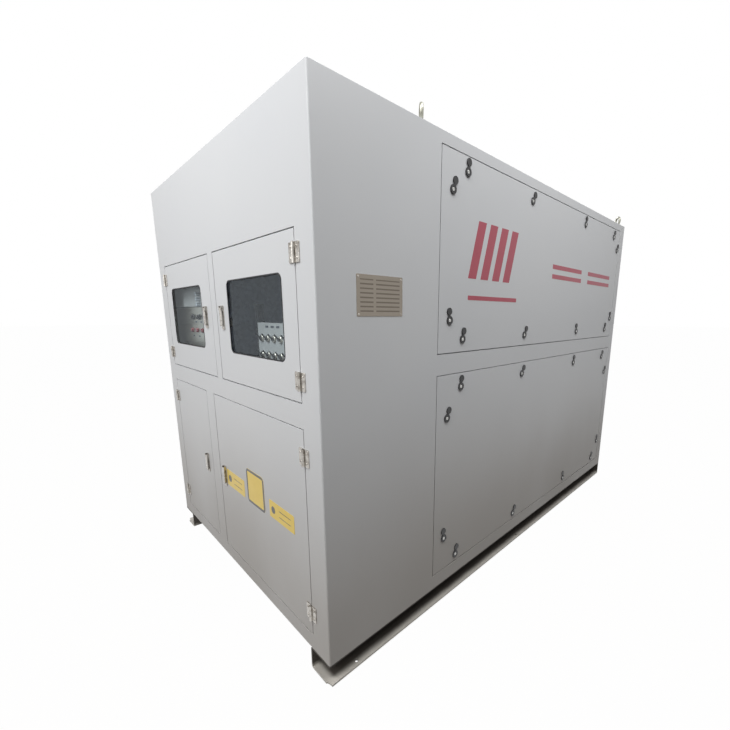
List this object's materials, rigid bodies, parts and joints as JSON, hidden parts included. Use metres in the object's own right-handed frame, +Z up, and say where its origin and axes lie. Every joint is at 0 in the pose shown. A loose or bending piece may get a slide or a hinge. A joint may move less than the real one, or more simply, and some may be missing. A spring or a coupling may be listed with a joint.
{
  "type": "generator load bank",
  "caption": "Skid-mounted load bank cabinet with windowed control doors, removable side covers, cooling fans and resistor tubes.",
  "frame": {"origin": "on the ground, at the centre of the anchor hole pattern in the skids", "axes": "+X to the right seen from the doors, +Y from the doors to the rear, +Z up"},
  "size_m": [1.73, 2.9134, 2.17],
  "materials": {
    "paint": "semi-gloss light warm grey powder coat",
    "base_paint": "semi-gloss grey powder coat",
    "galvanised": "galvanised sheet",
    "chrome": "bright chrome plate on zinc",
    "lock_plastic": "black moulded plastic",
    "eye_steel": "zinc plated steel",
    "perspex": "clear acrylic sheet",
    "stainless": "brushed stainless steel",
    "panel_paint": "light grey powder coat",
    "relay_plastic": "light grey moulded plastic",
    "red_lens": "red translucent lens",
    "knob_plastic": "black moulded plastic",
    "fan_blade": "cast aluminium",
    "motor_paint": "dark grey machine paint",
    "element_alloy": "heat-tinted stainless alloy",
    "board_laminate": "brown phenolic laminate",
    "copper": "tinned copper bar",
    "contactor_plastic": "dark moulded plastic"
  },
  "bodies": {
    "enclosure": {"front_frame": "paint", "side_wall_left": "paint", "side_wall_right": "paint", "rear_wall": "paint", "roof": "paint", "skid_left": "base_paint", "skid_right": "base_paint", "cross_members": "base_paint", "floor_pan": "base_paint", "bulkhead": "galvanised", "cabin_shelf": "galvanised", "cabin_dividers": "galvanised", "mid_deck": "galvanised", "fan_plates": "galvanised", "element_cradles": "galvanised", "inlet_grilles": "galvanised", "outlet_grilles": "galvanised", "hinge_frame_leaves": "chrome", "lifting_eyes": "eye_steel", "control_plate": "stainless", "switch_bezels": "stainless", "relay_panel": "panel_paint", "switch_panel": "panel_paint", "relay_modules": "relay_plastic", "indicator_lamps": "red_lens", "switch_levers": "knob_plastic", "fan_motors": "motor_paint", "heating_elements": "element_alloy", "terminal_board": "board_laminate", "busbars": "copper", "contactors": "contactor_plastic"},
    "door_upper_left": {"door_upper_left": "paint", "window_upper_left": "perspex", "fittings_upper_left": "chrome"},
    "handle_upper_left": {"handle_upper_left": "chrome"},
    "door_upper_right": {"door_upper_right": "paint", "window_upper_right": "perspex", "fittings_upper_right": "chrome"},
    "handle_upper_right": {"handle_upper_right": "chrome"},
    "door_lower_left": {"door_lower_left": "paint", "fittings_lower_left": "chrome"},
    "handle_lower_left": {"handle_lower_left": "chrome"},
    "door_lower_right": {"door_lower_right": "paint", "fittings_lower_right": "chrome"},
    "handle_lower_right": {"handle_lower_right": "chrome"},
    "cover_right_lower": {"cover_right_lower": "paint", "locks_right_lower": "lock_plastic"},
    "cover_right_upper": {"cover_right_upper": "paint", "locks_right_upper": "lock_plastic"},
    "cover_left_lower": {"cover_left_lower": "paint", "locks_left_lower": "lock_plastic"},
    "cover_left_upper": {"cover_left_upper": "paint", "locks_left_upper": "lock_plastic"},
    "impeller_lower_front": {"impeller_lower_front": "fan_blade"},
    "impeller_lower_rear": {"impeller_lower_rear": "fan_blade"},
    "impeller_upper_front": {"impeller_upper_front": "fan_blade"},
    "impeller_upper_rear": {"impeller_upper_rear": "fan_blade"},
    "selector_knob_left": {"selector_knob_left": "knob_plastic"},
    "selector_knob_right": {"selector_knob_right": "knob_plastic"}
  },
  "joints": [
    {"name": "door_upper_left_hinge", "type": "hinge", "parent": "enclosure", "child": "door_upper_left", "pos_m": [-0.75, -1.4565, 1.389], "axis": [0, 0, -1], "range_deg": [0, 110]},
    {"name": "handle_upper_left_lift", "type": "hinge", "parent": "door_upper_left", "child": "handle_upper_left", "pos_m": [-0.108, -1.4594, 1.43], "axis": [-1, 0, 0], "range_deg": [0, 70]},
    {"name": "door_upper_right_hinge", "type": "hinge", "parent": "enclosure", "child": "door_upper_right", "pos_m": [0.75, -1.4565, 1.389], "axis": [0, 0, 1], "range_deg": [0, 110]},
    {"name": "handle_upper_right_lift", "type": "hinge", "parent": "door_upper_right", "child": "handle_upper_right", "pos_m": [0.102, -1.4594, 1.43], "axis": [-1, 0, 0], "range_deg": [0, 70]},
    {"name": "door_lower_left_hinge", "type": "hinge", "parent": "enclosure", "child": "door_lower_left", "pos_m": [-0.75, -1.4565, 0.5875], "axis": [0, 0, -1], "range_deg": [0, 110]},
    {"name": "handle_lower_left_lift", "type": "hinge", "parent": "door_lower_left", "child": "handle_lower_left", "pos_m": [-0.296, -1.4594, 0.6285], "axis": [-1, 0, 0], "range_deg": [0, 70]},
    {"name": "door_lower_right_hinge", "type": "hinge", "parent": "enclosure", "child": "door_lower_right", "pos_m": [0.75, -1.4565, 0.5875], "axis": [0, 0, 1], "range_deg": [0, 110]},
    {"name": "handle_lower_right_lift", "type": "hinge", "parent": "door_lower_right", "child": "handle_lower_right", "pos_m": [-0.045, -1.4594, 0.6285], "axis": [-1, 0, 0], "range_deg": [0, 70]},
    {"name": "cover_right_lower_removal", "type": "slide", "parent": "enclosure", "child": "cover_right_lower", "axis": [1, 0, 0], "range_m": [0, 0.4]},
    {"name": "cover_right_upper_removal", "type": "slide", "parent": "enclosure", "child": "cover_right_upper", "axis": [1, 0, 0], "range_m": [0, 0.4]},
    {"name": "cover_left_lower_removal", "type": "slide", "parent": "enclosure", "child": "cover_left_lower", "axis": [-1, 0, 0], "range_m": [0, 0.4]},
    {"name": "cover_left_upper_removal", "type": "slide", "parent": "enclosure", "child": "cover_left_upper", "axis": [-1, 0, 0], "range_m": [0, 0.4]},
    {"name": "impeller_lower_front_spin", "type": "hinge", "parent": "enclosure", "child": "impeller_lower_front", "pos_m": [-0.492, -0.275, 0.6465], "axis": [1, 0, 0], "continuous": true},
    {"name": "impeller_lower_rear_spin", "type": "hinge", "parent": "enclosure", "child": "impeller_lower_rear", "pos_m": [-0.492, 0.825, 0.6465], "axis": [1, 0, 0], "continuous": true},
    {"name": "impeller_upper_front_spin", "type": "hinge", "parent": "enclosure", "child": "impeller_upper_front", "pos_m": [-0.492, -0.275, 1.6435], "axis": [1, 0, 0], "continuous": true},
    {"name": "impeller_upper_rear_spin", "type": "hinge", "parent": "enclosure", "child": "impeller_upper_rear", "pos_m": [-0.492, 0.825, 1.6435], "axis": [1, 0, 0], "continuous": true},
    {"name": "selector_knob_left_turn", "type": "hinge", "parent": "enclosure", "child": "selector_knob_left", "pos_m": [-0.4995, -1.39, 1.388], "axis": [0, -1, 0], "range_deg": [-45, 45]},
    {"name": "selector_knob_right_turn", "type": "hinge", "parent": "enclosure", "child": "selector_knob_right", "pos_m": [-0.4045, -1.39, 1.388], "axis": [0, -1, 0], "range_deg": [-45, 45]}
  ]
}
